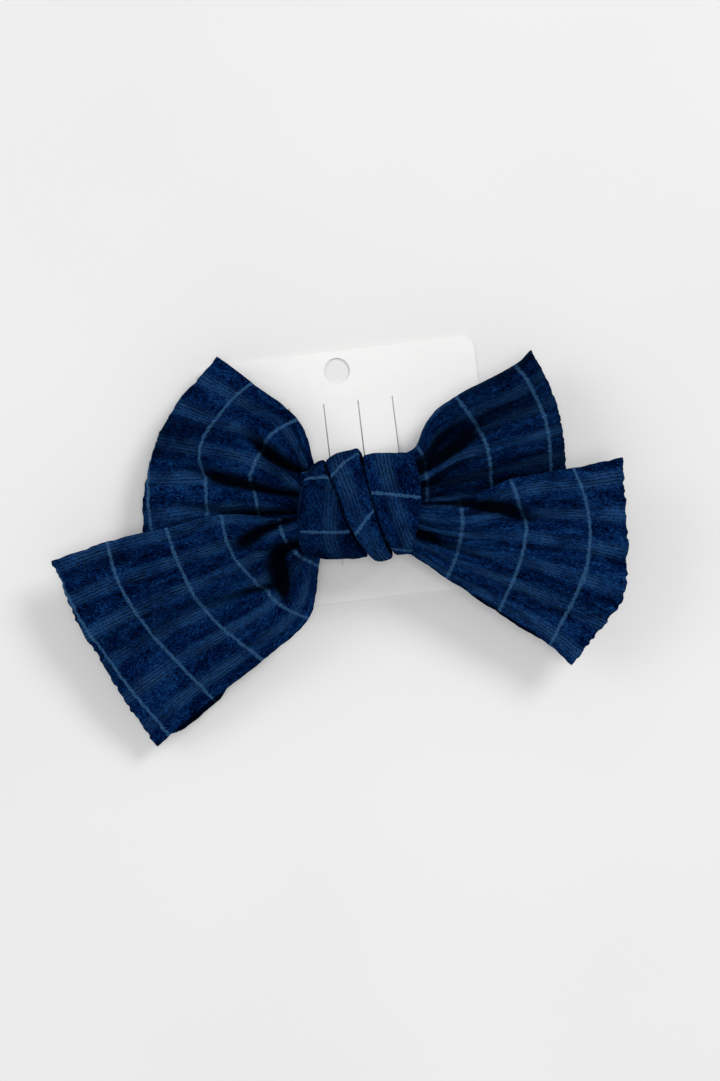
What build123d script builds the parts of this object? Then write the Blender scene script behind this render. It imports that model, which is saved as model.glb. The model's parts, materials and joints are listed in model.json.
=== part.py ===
from build123d import *
import os
from math import cos, radians, sin, tan

# Hair bow of folded cloth on a sprung steel clip, threaded on a slit display card.
# Millimetres. +Z is the bow's front, +X runs along the clip towards its thumb levers, and +Y
# runs up the card towards its hang hole. The origin is the middle of the whole part's
# footprint, on the plane that the card's back rests on.

# ---- driving dimensions -------------------------------------------------------------------
KNOT_X = 6.7  # knot centre from the origin
KNOT_Y = 7.85

# display card
CARD_WIDTH = 86.0
CARD_HEIGHT = 77.5
CARD_THICKNESS = 0.5
CARD_CORNER = 4.0
CARD_X = -1.2  # card centre from the knot centre
CARD_Y = 9.6
HANG_HOLE_RADIUS = 4.0
HANG_HOLE_Y = 42.2
SLIT_PITCH = 10.7
SLIT_WIDTH = 0.35
SLIT_LOW_Y = -17.7
SLIT_HIGH_Y = 32.4
STRIP_COUNT = 3
STRIP_CREST = 2.4  # underside of a strip where it passes over the clip's lower arm
STRIP_CREST_HALF = 5.6

# clip
CLIP_TIP_X = -24.0
CLIP_LEVER_X = 31.0
CLIP_WIDTH = 9.5
STEEL = 0.8
LOWER_ARM_BOTTOM = 0.6
LOWER_ARM_TOP = 2.3
ARM_TILT = 6.0  # upper arm's slope with the jaws closed on the card
UPPER_TIP_BOTTOM = 3.5
LEVER_BEND = 10.0
LEVER_START = 20.5
TOOTH_COUNT = 5
TOOTH_HEIGHT = 0.45
LINING_THICKNESS = 0.5
PIVOT_X = 19.5
PIVOT_Z = 6.0
PIN_RADIUS = 0.8
PIN_HEAD_RADIUS = 1.3
PIN_HEAD_THICKNESS = 0.45
PIN_CLEARANCE = 0.06
EAR_RADIUS = 1.6
EAR_GAP = 0.15  # side clearance between the upper and lower ears
SPRING_INNER = 1.15
SPRING_OUTER = 1.85
SPRING_HALF = 2.75
SPRING_WIRE = 0.35  # radius of the spring's legs
SPRING_LEG_Y = 2.3

# knot, waist and what holds them
KNOT_SHIFT = 1.2  # along the tilted arm, so that the knot stands over its own centre
KNOT_LENGTH = 37.2
KNOT_DEPTH = 33.0
KNOT_HEIGHT = 19.0
KNOT_CORNER = 8.0
GLUE_THICKNESS = 0.7
GLUE_LENGTH = 18.0
GLUE_WIDTH = 7.6
WAIST_DEPTH = 24.0
WAIST_HEIGHT = 11.0
WAIST_CORNER = 3.8
WAIST_GAP = 0.2
TURN_GAP = 0.2
THREAD_RADIUS = 0.35
THREAD_TURNS = 3
THREAD_PITCH = 0.9
GROOVE_WIDTH = 3.0
GROOVE_DEPTH = 0.8
LOBE_GAP = 0.15  # between the knot and the lobes round it

# Plan outlines of the four lobes, from the knot centre. Each inner end runs into the knot,
# which is then cut out of it.
UPPER_LEFT = [
    (-14, -3), (-65.4, -8), (-64.3, 9.3), (-57.8, 27.6), (-51.5, 36.7), (-36.9, 50.2),
    (-27.4, 40.5), (-20.7, 34.1), (-15.4, 27.9), (-12.5, 19.5), (-14, 15),
]
UPPER_RIGHT = [
    (14, -3), (60, -6), (63.6, 3.7), (64.2, 12.8), (61.5, 30.6), (57.7, 40), (33.9, 29.1),
    (27, 25.3), (21, 19), (14, 14),
]
LOWER_LEFT = [
    (-14, 0.5), (-48.9, 2.2), (-70.7, 0), (-93.5, -5.9), (-85.9, -31.7), (-70, -65.9),
    (-60.3, -58.8), (-34.5, -43.8), (-23.6, -37.7), (-16.7, -28.7), (-14, -19), (-14, -15),
]
LOWER_RIGHT = [
    (14, -1.5), (31.1, -1.9), (48.5, 1.8), (63.6, 2.7), (80.1, 4.1), (77.3, -31.2),
    (76, -37.5), (59, -55.7), (39.5, -36.7), (24, -25.3), (15, -18.5), (14, -15),
]
# Side profiles of the loops, as x and z.
LEFT_LOOP_SIDE = [(-10, 10), (-40, 4.6), (-68, 3.5), (-68, 14.2), (-40, 14.8), (-10, 15.5)]
RIGHT_LOOP_SIDE = [(12, 12.8), (33, 12.9), (42, 10.5), (68, 9.5), (68, 22), (12, 18.5)]
# A tail lies between two parallel planes: the lower one's height over the knot centre, its
# rise per millimetre of x and of y, and the tail's thickness.
LEFT_TAIL_SLAB = (17.5, 0.02, 0.19, 6.0)
RIGHT_TAIL_SLAB = (20.1, 0.06, 0.21, 5.0)

# ---- worked out from them -----------------------------------------------------------------
HALF_WIDTH = CLIP_WIDTH / 2
ARM_RISE = tan(radians(ARM_TILT))
ARM_Z = UPPER_TIP_BOTTOM - CLIP_TIP_X * ARM_RISE + (STEEL + LINING_THICKNESS) / cos(radians(ARM_TILT))
SLITS = [CARD_X + SLIT_PITCH * (i - STRIP_COUNT / 2) for i in range(STRIP_COUNT + 1)]
KNOT_MIDDLE_Z = GLUE_THICKNESS + KNOT_HEIGHT / 2
# Places the tilted frame of the upper arm, whose z is 0 on top of the lining.
ON_ARM = Location((0, 0, ARM_Z), (0, -ARM_TILT, 0))
TO_ORIGIN = Location((KNOT_X, KNOT_Y, 0))


def side_plate(points, y_low, y_high):
    """A polygon of x and z, as thick as the two y values say."""
    face = Plane.XZ * make_face(Polyline(*points, close=True))
    return Pos(0, y_low, 0) * extrude(face, amount=y_high - y_low, dir=(0, 1, 0))


def cylinder_y(x, z, radius, y_low, y_high):
    """A cylinder along Y."""
    face = Plane(origin=(x, y_low, z), z_dir=(0, 1, 0)) * Circle(radius)
    return extrude(face, amount=y_high - y_low)


def rod(start, end, radius):
    """A round bar from one point to another."""
    face = Plane(origin=start, z_dir=Vector(*end) - Vector(*start)) * Circle(radius)
    return extrude(face, amount=(Vector(*end) - Vector(*start)).length)


def ring_prism(depth, height, corner, x_low, x_high, z_middle):
    """A bar along X with a rounded rectangular section."""
    plane = Plane(origin=(x_low, 0, z_middle), x_dir=(0, 1, 0), z_dir=(1, 0, 0))
    return extrude(plane * RectangleRounded(depth, height, corner), amount=x_high - x_low)


def plan_prism(points, z_low, z_high):
    """A polygon seen from above, between two heights."""
    return Pos(0, 0, z_low) * extrude(make_face(Polyline(*points, close=True)), amount=z_high - z_low)


# ---- display card ---------------------------------------------------------------------------
def display_card():
    plate = Pos(CARD_X, CARD_Y) * extrude(
        RectangleRounded(CARD_WIDTH, CARD_HEIGHT, CARD_CORNER), amount=CARD_THICKNESS
    )
    plate -= Pos(CARD_X, HANG_HOLE_Y) * Cylinder(HANG_HOLE_RADIUS, 4)
    window_width = SLITS[-1] - SLITS[0] + SLIT_WIDTH
    slit_length = SLIT_HIGH_Y - SLIT_LOW_Y
    middle = ((SLITS[0] + SLITS[-1]) / 2, (SLIT_LOW_Y + SLIT_HIGH_Y) / 2)
    plate -= Pos(*middle) * Box(window_width, slit_length, 4)
    root = 1.0  # how far a strip's outline runs on into the plate
    under = [
        (SLIT_LOW_Y - root, 0), (SLIT_LOW_Y, 0), (-STRIP_CREST_HALF, STRIP_CREST),
        (STRIP_CREST_HALF, STRIP_CREST), (SLIT_HIGH_Y, 0), (SLIT_HIGH_Y + root, 0),
    ]
    over = [(y, z + CARD_THICKNESS) for y, z in reversed(under)]
    outline = Plane.YZ * make_face(Polyline(*under, *over, close=True))
    strip_width = SLIT_PITCH - SLIT_WIDTH
    for left in SLITS[:-1]:
        plate += Pos(left + SLIT_WIDTH / 2, 0, 0) * extrude(outline, amount=strip_width, dir=(1, 0, 0))
    return plate


# ---- clip -----------------------------------------------------------------------------------
def lower_ear(y_low):
    ear = cylinder_y(PIVOT_X, PIVOT_Z, EAR_RADIUS, y_low, y_low + STEEL)
    foot = [
        (PIVOT_X - EAR_RADIUS, PIVOT_Z), (PIVOT_X + EAR_RADIUS, PIVOT_Z),
        (PIVOT_X + 2 * EAR_RADIUS, LOWER_ARM_TOP - STEEL / 2),
        (PIVOT_X - 2 * EAR_RADIUS, LOWER_ARM_TOP - STEEL / 2),
    ]
    return ear + side_plate(foot, y_low, y_low + STEEL)


def clip_lower_arm():
    """A channel with its flanges down, rounded at both ends, and two ears for the pin."""
    length = CLIP_LEVER_X - CLIP_TIP_X
    height = LOWER_ARM_TOP - LOWER_ARM_BOTTOM
    place = Pos((CLIP_LEVER_X + CLIP_TIP_X) / 2, 0, LOWER_ARM_BOTTOM)
    outer = extrude(RectangleRounded(length, CLIP_WIDTH, HALF_WIDTH - 0.4), amount=height)
    inner_size = (length - 2 * STEEL, CLIP_WIDTH - 2 * STEEL)
    inner = extrude(RectangleRounded(*inner_size, HALF_WIDTH - 0.4 - STEEL), amount=height - STEEL)
    arm = place * (outer - inner)
    for y_low in (-HALF_WIDTH, HALF_WIDTH - STEEL):
        arm += lower_ear(y_low)
    return arm - cylinder_y(PIVOT_X, PIVOT_Z, PIN_RADIUS + PIN_CLEARANCE, -CLIP_WIDTH, CLIP_WIDTH)


def clip_upper_arm():
    """A tilted plate with a bent thumb lever, bite teeth under its tip and two inner ears."""
    low = -LINING_THICKNESS - STEEL
    end_x = CLIP_LEVER_X / cos(radians(ARM_TILT))
    end_rise = (end_x - LEVER_START) * tan(radians(LEVER_BEND))
    tip_x = CLIP_TIP_X / cos(radians(ARM_TILT))
    outline = [
        (tip_x, low), (LEVER_START, low), (end_x, low + end_rise), (end_x, low + STEEL + end_rise),
        (LEVER_START, low + STEEL), (tip_x, low + STEEL),
    ]
    plate = side_plate(outline, -HALF_WIDTH, HALF_WIDTH)
    plan = extrude(RectangleRounded(end_x - tip_x, CLIP_WIDTH, HALF_WIDTH - 0.4), amount=20)
    plate &= Pos((end_x + tip_x) / 2, 0, -10) * plan
    tooth_pitch = 1.1
    tooth = [(0, low + 0.2), (0.9, low + 0.2), (0.45, low - TOOTH_HEIGHT)]
    for i in range(TOOTH_COUNT):
        y = (i - (TOOTH_COUNT - 1) / 2) * tooth_pitch
        plate += Pos(tip_x + 0.3, y - 0.4, 0) * side_plate(tooth, 0, 0.8)
    arm = ON_ARM * plate
    ear_outer = HALF_WIDTH - STEEL - EAR_GAP
    top = ARM_Z + PIVOT_X * ARM_RISE - LINING_THICKNESS - STEEL / 2
    stem = [
        (PIVOT_X - EAR_RADIUS, PIVOT_Z), (PIVOT_X + EAR_RADIUS, PIVOT_Z),
        (PIVOT_X + EAR_RADIUS, top), (PIVOT_X - EAR_RADIUS, top),
    ]
    for y_low in (-ear_outer, ear_outer - STEEL):
        arm += cylinder_y(PIVOT_X, PIVOT_Z, EAR_RADIUS, y_low, y_low + STEEL)
        arm += side_plate(stem, y_low, y_low + STEEL)
    return arm - cylinder_y(PIVOT_X, PIVOT_Z, PIN_RADIUS + PIN_CLEARANCE, -CLIP_WIDTH, CLIP_WIDTH)


def clip_hinge_pin():
    head_start = HALF_WIDTH + 0.05
    head_end = head_start + PIN_HEAD_THICKNESS
    pin = cylinder_y(PIVOT_X, PIVOT_Z, PIN_RADIUS, -head_end, head_end)
    for y_low in (-head_end, head_start):
        pin += cylinder_y(PIVOT_X, PIVOT_Z, PIN_HEAD_RADIUS, y_low, y_low + PIN_HEAD_THICKNESS)
    return pin


def clip_spring():
    """The coil as a plain tube, with a leg on the lower arm and a leg under the lever."""
    coil = cylinder_y(PIVOT_X, PIVOT_Z, SPRING_OUTER, -SPRING_HALF, SPRING_HALF)
    wire_circle = (SPRING_INNER + SPRING_OUTER) / 2
    lower_end = LOWER_ARM_TOP + SPRING_WIRE + 0.1
    lower = ((PIVOT_X, -SPRING_LEG_Y, PIVOT_Z - wire_circle), (28.5, -SPRING_LEG_Y, lower_end))
    upper = ((PIVOT_X, SPRING_LEG_Y, PIVOT_Z + wire_circle - 0.1), (27.5, SPRING_LEG_Y, 9.2))
    for start, end in (lower, upper):
        coil += rod(start, end, SPRING_WIRE)
    return coil - cylinder_y(PIVOT_X, PIVOT_Z, SPRING_INNER, -CLIP_WIDTH, CLIP_WIDTH)


def clip_lining():
    start_x, end_x = CLIP_TIP_X + 0.6, PIVOT_X - 0.5
    size = (end_x - start_x, CLIP_WIDTH - 0.2)
    strip = extrude(RectangleRounded(*size, HALF_WIDTH - 0.6), amount=LINING_THICKNESS)
    return ON_ARM * Pos((start_x + end_x) / 2, 0, -LINING_THICKNESS) * strip


# ---- knot and waist -------------------------------------------------------------------------
def glue_pad():
    pad = extrude(RectangleRounded(GLUE_LENGTH, GLUE_WIDTH, 2), amount=GLUE_THICKNESS)
    return ON_ARM * Pos(KNOT_SHIFT, 0, 0) * pad


def knot_tube():
    """The wrap round the waist as one tube along X, before it is parted into its turns."""
    x_low = KNOT_SHIFT - KNOT_LENGTH / 2
    x_high = KNOT_SHIFT + KNOT_LENGTH / 2
    outer = ring_prism(KNOT_DEPTH, KNOT_HEIGHT, KNOT_CORNER, x_low, x_high, KNOT_MIDDLE_Z)
    hole = ring_prism(
        WAIST_DEPTH + WAIST_GAP, WAIST_HEIGHT + WAIST_GAP, WAIST_CORNER, x_low - 1, x_high + 1,
        KNOT_MIDDLE_Z,
    )
    return outer - hole


def knot_turns():
    """Left, slanting and right turns, parted by two slanting cuts seen from above."""
    reach = 20
    left_top, left_low = -7.5, 3.5  # x of the left cut at y = +16 and y = -16
    right_top, right_low = 0.5, 10.5
    slant = 16
    parts = {}
    bounds = {
        "knot_left_turn": ((-reach - 5, -reach - 5), (left_top - TURN_GAP, left_low - TURN_GAP)),
        "knot_cross_turn": ((left_top, left_low), (right_top, right_low)),
        "knot_right_turn": ((right_top + TURN_GAP, right_low + TURN_GAP), (reach + 5, reach + 5)),
    }
    for name, ((top_a, low_a), (top_b, low_b)) in bounds.items():
        plan = [(top_a, slant + 1), (low_a, -slant - 1), (low_b, -slant - 1), (top_b, slant + 1)]
        parts[name] = ON_ARM * (knot_tube() & plan_prism(plan, -5, 40))
    return parts


def waist_core():
    """The gathered middle of the loops and tails, with a groove for the thread."""
    x_low = KNOT_SHIFT - KNOT_LENGTH / 2 + 0.3
    x_high = KNOT_SHIFT + KNOT_LENGTH / 2 - 0.3
    core = ring_prism(WAIST_DEPTH, WAIST_HEIGHT, WAIST_CORNER, x_low, x_high, KNOT_MIDDLE_Z)
    groove = (KNOT_SHIFT - GROOVE_WIDTH / 2, KNOT_SHIFT + GROOVE_WIDTH / 2, KNOT_MIDDLE_Z)
    sleeve = ring_prism(WAIST_DEPTH + 2, WAIST_HEIGHT + 2, WAIST_CORNER, *groove)
    floor = ring_prism(
        WAIST_DEPTH - 2 * GROOVE_DEPTH, WAIST_HEIGHT - 2 * GROOVE_DEPTH, WAIST_CORNER - GROOVE_DEPTH,
        *groove,
    )
    return ON_ARM * (core - (sleeve - floor))


def cinch_thread():
    """Separate rings, one for each turn of the thread in the waist's groove."""
    turns = []
    for i in range(THREAD_TURNS):
        x = KNOT_SHIFT + (i - (THREAD_TURNS - 1) / 2) * THREAD_PITCH
        plane = Plane(origin=(x, 0, KNOT_MIDDLE_Z), x_dir=(0, 1, 0), z_dir=(1, 0, 0))
        reach = GROOVE_DEPTH - THREAD_RADIUS - 0.02
        path = plane * RectangleRounded(
            WAIST_DEPTH - 2 * reach, WAIST_HEIGHT - 2 * reach, WAIST_CORNER - reach
        )
        half_depth = WAIST_DEPTH / 2 - reach
        section = Plane(origin=(x, half_depth, KNOT_MIDDLE_Z), z_dir=(0, 0, 1)) * Circle(THREAD_RADIUS)
        turns.append(ON_ARM * sweep(section, path=path.wire()))
    return Compound(turns)


# ---- loops and tails ------------------------------------------------------------------------
def knot_block():
    """The knot's outer form grown by the gap that the lobes keep from it."""
    x_low = KNOT_SHIFT - KNOT_LENGTH / 2 - LOBE_GAP
    x_high = KNOT_SHIFT + KNOT_LENGTH / 2 + LOBE_GAP
    grown = 2 * LOBE_GAP
    size = (KNOT_DEPTH + grown, KNOT_HEIGHT + grown, KNOT_CORNER)
    return ON_ARM * ring_prism(*size, x_low, x_high, KNOT_MIDDLE_Z)


def loop_lobe(outline, side):
    lobe = plan_prism(outline, 0, 40) & side_plate(side, -60, 60)
    return lobe - knot_block()


def tail_lobe(outline, slab):
    height, x_rise, y_rise, thickness = slab
    plane = Plane(origin=(0, 0, height), z_dir=(-x_rise, -y_rise, 1))
    sheet = extrude(plane * Rectangle(400, 400), amount=thickness)
    return (plan_prism(outline, -20, 60) & sheet) - knot_block()


def main():
    nodes = {
        "display_card": display_card(),
        "clip_lower_arm": clip_lower_arm(),
        "clip_upper_arm": clip_upper_arm(),
        "clip_hinge_pin": clip_hinge_pin(),
        "clip_spring": clip_spring(),
        "clip_lining": clip_lining(),
        "glue_pad": glue_pad(),
        "waist_core": waist_core(),
        "cinch_thread": cinch_thread(),
        "upper_left_loop": loop_lobe(UPPER_LEFT, LEFT_LOOP_SIDE),
        "upper_right_loop": loop_lobe(UPPER_RIGHT, RIGHT_LOOP_SIDE),
        "lower_left_tail": tail_lobe(LOWER_LEFT, LEFT_TAIL_SLAB),
        "lower_right_tail": tail_lobe(LOWER_RIGHT, RIGHT_TAIL_SLAB),
    }
    nodes.update(knot_turns())
    os.makedirs("parts", exist_ok=True)
    for name, shape in nodes.items():
        export_step(TO_ORIGIN * shape, f"parts/{name}.step")


main()
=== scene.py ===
import json
import math

import bmesh
import bpy
import numpy as np
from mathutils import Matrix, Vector


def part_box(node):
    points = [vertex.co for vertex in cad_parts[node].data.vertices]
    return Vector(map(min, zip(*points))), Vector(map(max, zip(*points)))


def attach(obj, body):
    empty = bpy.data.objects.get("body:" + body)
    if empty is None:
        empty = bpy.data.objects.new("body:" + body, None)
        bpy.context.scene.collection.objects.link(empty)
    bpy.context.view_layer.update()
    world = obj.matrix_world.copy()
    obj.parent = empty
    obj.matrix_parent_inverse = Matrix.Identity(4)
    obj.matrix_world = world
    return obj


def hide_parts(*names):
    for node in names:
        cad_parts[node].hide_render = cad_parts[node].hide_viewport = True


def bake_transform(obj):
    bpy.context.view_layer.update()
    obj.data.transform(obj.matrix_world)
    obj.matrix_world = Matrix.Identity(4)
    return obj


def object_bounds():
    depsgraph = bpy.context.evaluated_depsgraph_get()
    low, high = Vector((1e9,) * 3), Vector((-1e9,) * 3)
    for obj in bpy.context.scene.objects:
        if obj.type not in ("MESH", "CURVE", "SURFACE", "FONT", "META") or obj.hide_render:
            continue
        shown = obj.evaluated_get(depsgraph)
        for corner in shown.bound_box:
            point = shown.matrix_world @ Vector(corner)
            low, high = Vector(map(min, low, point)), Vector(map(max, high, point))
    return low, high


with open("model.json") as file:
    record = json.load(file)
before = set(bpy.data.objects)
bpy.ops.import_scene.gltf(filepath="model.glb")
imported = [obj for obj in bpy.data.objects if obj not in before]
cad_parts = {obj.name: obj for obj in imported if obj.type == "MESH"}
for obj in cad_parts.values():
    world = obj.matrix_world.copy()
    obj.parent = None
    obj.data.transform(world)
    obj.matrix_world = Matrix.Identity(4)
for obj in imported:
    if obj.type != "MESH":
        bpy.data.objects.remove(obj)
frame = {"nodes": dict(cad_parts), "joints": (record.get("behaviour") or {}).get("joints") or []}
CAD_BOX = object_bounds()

MM = 0.001

# Where the knot's centre stands in the frame. All outlines below are millimetres from it.
CARD_LOW, CARD_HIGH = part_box("display_card")
CARD_FROM_KNOT_X, CARD_FROM_KNOT_Y = -1.2, 9.6
KNOT = np.array([
    (CARD_LOW[0] + CARD_HIGH[0]) / 2 / MM - CARD_FROM_KNOT_X,
    (CARD_LOW[1] + CARD_HIGH[1]) / 2 / MM - CARD_FROM_KNOT_Y,
    0.0,
])
HINGE = next(j for j in frame["joints"] if j["name"] == "clip_hinge")
PIVOT = np.array(HINGE["pos_m"]) / MM - KNOT

# The cloth: a navy crinkle crepe with a tonal check of single stripes across and groups of fine
# lines along, in millimetres. The strip is a flattened tube.
STRIPE_PITCH = 18.0
GROUP_PITCH = 11.8
LINE_PITCH = 1.1
STRIP_WIDTH = 68.0
TAIL_THICKNESS = 0.45
LOOP_THICKNESS = 0.8
PUCKER_HEIGHT = 0.42
KNOT_PUCKER_HEIGHT = 0.24
GRID_STEP = 0.5

# Its colours: a pucker's bottom in painted shade, its middle, its top in a painted highlight, the
# fine lines, the single stripes, and the painted shade inside a fold.
PUCKER_SHADE_BLUE = (0.0000, 0.0007, 0.0080)
PLAIN_BLUE = (0.0010, 0.0118, 0.0660)
PUCKER_HIGHLIGHT_BLUE = (0.0070, 0.0450, 0.1580)
LINE_BLUE = (0.0240, 0.0860, 0.2150)
STRIPE_BLUE = (0.0400, 0.1200, 0.2600)
FOLD_SHADE_BLUE = (0.0, 0.0004, 0.0030)

# The depth of a fold whose bottom gets the full painted shade.
FULL_SHADE_FOLD_DEPTH = 6.5
# The camera's turn about the vertical, which sets the card askew in the view.
CAMERA_TURN = math.radians(6.9)


# ---- small numeric helpers ------------------------------------------------------------------
def smooth(low, high, x):
    t = np.clip((x - low) / (high - low), 0, 1)
    return t * t * (3 - 2 * t)


def rounded(wave, power):
    """A sine or cosine with flatter tops, which turns a circle into a rounded box."""
    return np.sign(wave) * np.abs(wave) ** power


def catmull(points, where):
    """A smooth curve through points (n, ...) at positions where, from 0 to n - 1."""
    points = np.asarray(points, float)
    n = len(points)
    first = 2 * points[0] - points[1]
    last = 2 * points[-1] - points[-2]
    padded = np.concatenate([first[None], points, last[None]])
    where = np.clip(np.asarray(where, float), 0, n - 1 - 1e-9)
    i = where.astype(int)
    t = (where - i).reshape(where.shape + (1,) * (points.ndim - 1))
    a, b, c, d = (padded[i + k] for k in range(4))
    return 0.5 * (2 * b + (c - a) * t + (2 * a - 5 * b + 4 * c - d) * t**2
                  + (3 * b - a - 3 * c + d) * t**3)


def resample(points, count):
    """count points evenly spaced along the smooth curve through points."""
    fine = catmull(points, np.linspace(0, len(points) - 1, 400))
    step = np.linalg.norm(np.diff(fine, axis=0), axis=1)
    along = np.concatenate([[0], np.cumsum(step)])
    want = np.linspace(0, along[-1], count)
    return np.stack([np.interp(want, along, fine[:, k]) for k in range(fine.shape[1])], axis=1)


def value_noise(x, y, seed):
    """Smooth noise from -1 to 1, one cell per unit."""
    table = np.random.default_rng(seed).uniform(-1, 1, (256, 256))
    xi, yi = np.floor(x).astype(int), np.floor(y).astype(int)
    fx, fy = x - xi, y - yi
    fx, fy = fx * fx * (3 - 2 * fx), fy * fy * (3 - 2 * fy)
    pick = lambda i, j: table[(xi + i) % 256, (yi + j) % 256]
    low = pick(0, 0) * (1 - fx) + pick(1, 0) * fx
    high = pick(0, 1) * (1 - fx) + pick(1, 1) * fx
    return low * (1 - fy) + high * fy


def crinkle(along, across, seed):
    """Height of the crepe's puckers, about -1 to 1: short ridges that run along the strip."""
    sway = value_noise(along / 9, across / 6, seed + 1) * 1.6
    ridges = value_noise(along / 3.6, (across + sway) / 1.15, seed + 2)
    broad = value_noise(along / 8.5, (across + sway) / 2.8, seed + 3)
    slant = value_noise((along + across) / 2.2, (across - 0.6 * along) / 1.5, seed + 4)
    return 0.45 * ridges + 0.55 * broad + 0.35 * slant


def displaced(points, uv, amount, seed, wrap, mirror=None):
    """The grid pushed along its normals by the crepe's puckers."""
    along = np.gradient(points, axis=0)
    if wrap:
        around = (np.roll(points, -1, axis=1) - np.roll(points, 1, axis=1)) / 2
    else:
        around = np.gradient(points, axis=1)
    normal = np.cross(around, along)
    normal /= np.linalg.norm(normal, axis=-1, keepdims=True) + 1e-9
    across = uv[..., 1] if mirror is None else np.minimum(uv[..., 1], mirror - uv[..., 1])
    height = crinkle(uv[..., 0] + 50, across + 50, seed)
    return points + normal * (amount * height)[..., None], height


def nearest_on_path(x, y, path):
    """For each point, the way to a smooth path of (x, y, depth, width), and depth and width there."""
    path = catmull(np.asarray(path, float), np.linspace(0, len(path) - 1, 10 * (len(path) - 1) + 1))
    nearest = np.full(x.shape, np.inf)
    to_x, to_y, depth, width = (np.zeros(x.shape) for _ in range(4))
    for a, b in zip(path[:-1], path[1:]):
        run = b[:2] - a[:2]
        t = np.clip(((x - a[0]) * run[0] + (y - a[1]) * run[1]) / max(run @ run, 1e-9), 0, 1)
        dx, dy = a[0] + t * run[0] - x, a[1] + t * run[1] - y
        gap = np.hypot(dx, dy)
        nearer = gap < nearest
        nearest = np.where(nearer, gap, nearest)
        to_x, to_y = np.where(nearer, dx, to_x), np.where(nearer, dy, to_y)
        depth = np.where(nearer, a[2] + t * (b[2] - a[2]), depth)
        width = np.where(nearer, a[3] + t * (b[3] - a[3]), width)
    return nearest, to_x, to_y, depth, np.maximum(width, 0.2)


def fold_shape(x, y, valleys, ridges):
    """The height of valleys and ridges, the shift in plan that closes valleys, and their shade."""
    z, shade = np.zeros(x.shape), np.zeros(x.shape)
    shift_x, shift_y = np.zeros(x.shape), np.zeros(x.shape)
    for path in valleys:
        gap, to_x, to_y, depth, width = nearest_on_path(x, y, path)
        ratio = gap / width
        # A valley has a flat floor and steep walls, and its shade goes a little beyond them.
        z -= depth * np.exp(-(ratio ** 3.6))
        core = np.exp(-((ratio / 1.05) ** 4))
        halo = 0.5 * np.exp(-((ratio / 1.7) ** 2))
        shade = np.maximum(shade, depth / FULL_SHADE_FOLD_DEPTH * np.maximum(core, halo))
        pull = 0.22 * np.clip(depth / 4, 0, 1) * np.exp(0.5 - 0.5 * ratio * ratio)
        shift_x += to_x * pull
        shift_y += to_y * pull
    for path in ridges:
        gap, _, _, depth, width = nearest_on_path(x, y, path)
        z += depth * np.exp(-((gap / width) ** 2))
    return z, shift_x, shift_y, shade


def pleats(along, v, count, depth, reach, seed):
    """Small gathers that fan out from the knot."""
    sway = value_noise(along / 16, v * 3, seed) * 1.4
    wide = np.cos(2 * math.pi * count * v + sway + seed)
    close = np.cos(4.6 * math.pi * count * v + 2 * sway)
    return depth * (wide + 0.35 * close) * np.exp(-np.maximum(along, 0) / reach)


# ---- meshes ---------------------------------------------------------------------------------
def new_mesh(name, points_mm, faces, uv_mm=None, shade_and_pucker=None):
    """A mesh object from points in millimetres from the knot.

    Its first UV is the cloth's own measure. Its second tells the material how much painted shade a
    point gets and how high on a pucker it is.
    """
    mesh = bpy.data.meshes.new(name)
    points = (np.asarray(points_mm) + KNOT) * MM
    mesh.from_pydata(points.tolist(), [], [tuple(f) for f in faces])
    if uv_mm is not None:
        layer = mesh.uv_layers.new(name="cloth")
        corners = np.empty(len(mesh.loops), int)
        mesh.loops.foreach_get("vertex_index", corners)
        layer.data.foreach_set("uv", (np.asarray(uv_mm)[corners] / 100).ravel())
        if shade_and_pucker is not None:
            layer = mesh.uv_layers.new(name="shade_and_pucker")
            layer.data.foreach_set("uv", np.asarray(shade_and_pucker)[corners].ravel())
    mesh.shade_smooth()
    obj = bpy.data.objects.new(name, mesh)
    bpy.context.scene.collection.objects.link(obj)
    return obj


def shade_and_pucker_of(depth, height):
    """The second UV: painted shade from 0 to 1, and the puckers' height about 0.5."""
    return np.stack([np.clip(depth, 0, 1), np.clip(0.5 + 0.5 * height, 0, 1)], axis=-1).reshape(-1, 2)


def grid_faces(rows, columns):
    """Quads of an open grid."""
    i, j = np.meshgrid(np.arange(rows - 1), np.arange(columns - 1), indexing="ij")
    a = i * columns + j
    return np.stack([a, a + 1, a + columns + 1, a + columns], axis=-1).reshape(-1, 4)


def wrapped_faces(rows, columns):
    """Quads of a grid whose last column joins its first."""
    i, j = np.meshgrid(np.arange(rows - 1), np.arange(columns), indexing="ij")
    k = (j + 1) % columns
    a, b = i * columns + j, i * columns + k
    return np.stack([a, b, b + columns, a + columns], axis=-1).reshape(-1, 4)


def closed_faces(rows, columns):
    """Quads of a grid that joins up both ways, as on a ring."""
    i, j = np.meshgrid(np.arange(rows), np.arange(columns), indexing="ij")
    r, k = (i + 1) % rows, (j + 1) % columns
    return np.stack([i * columns + j, i * columns + k, r * columns + k, r * columns + j],
                    axis=-1).reshape(-1, 4)


def thicken(obj, thickness_mm):
    """Give a sheet its thickness, half of it on each side."""
    skin = obj.modifiers.new("thickness", "SOLIDIFY")
    skin.thickness = thickness_mm * MM
    skin.offset = 0.0
    skin.use_even_offset = False


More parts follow.
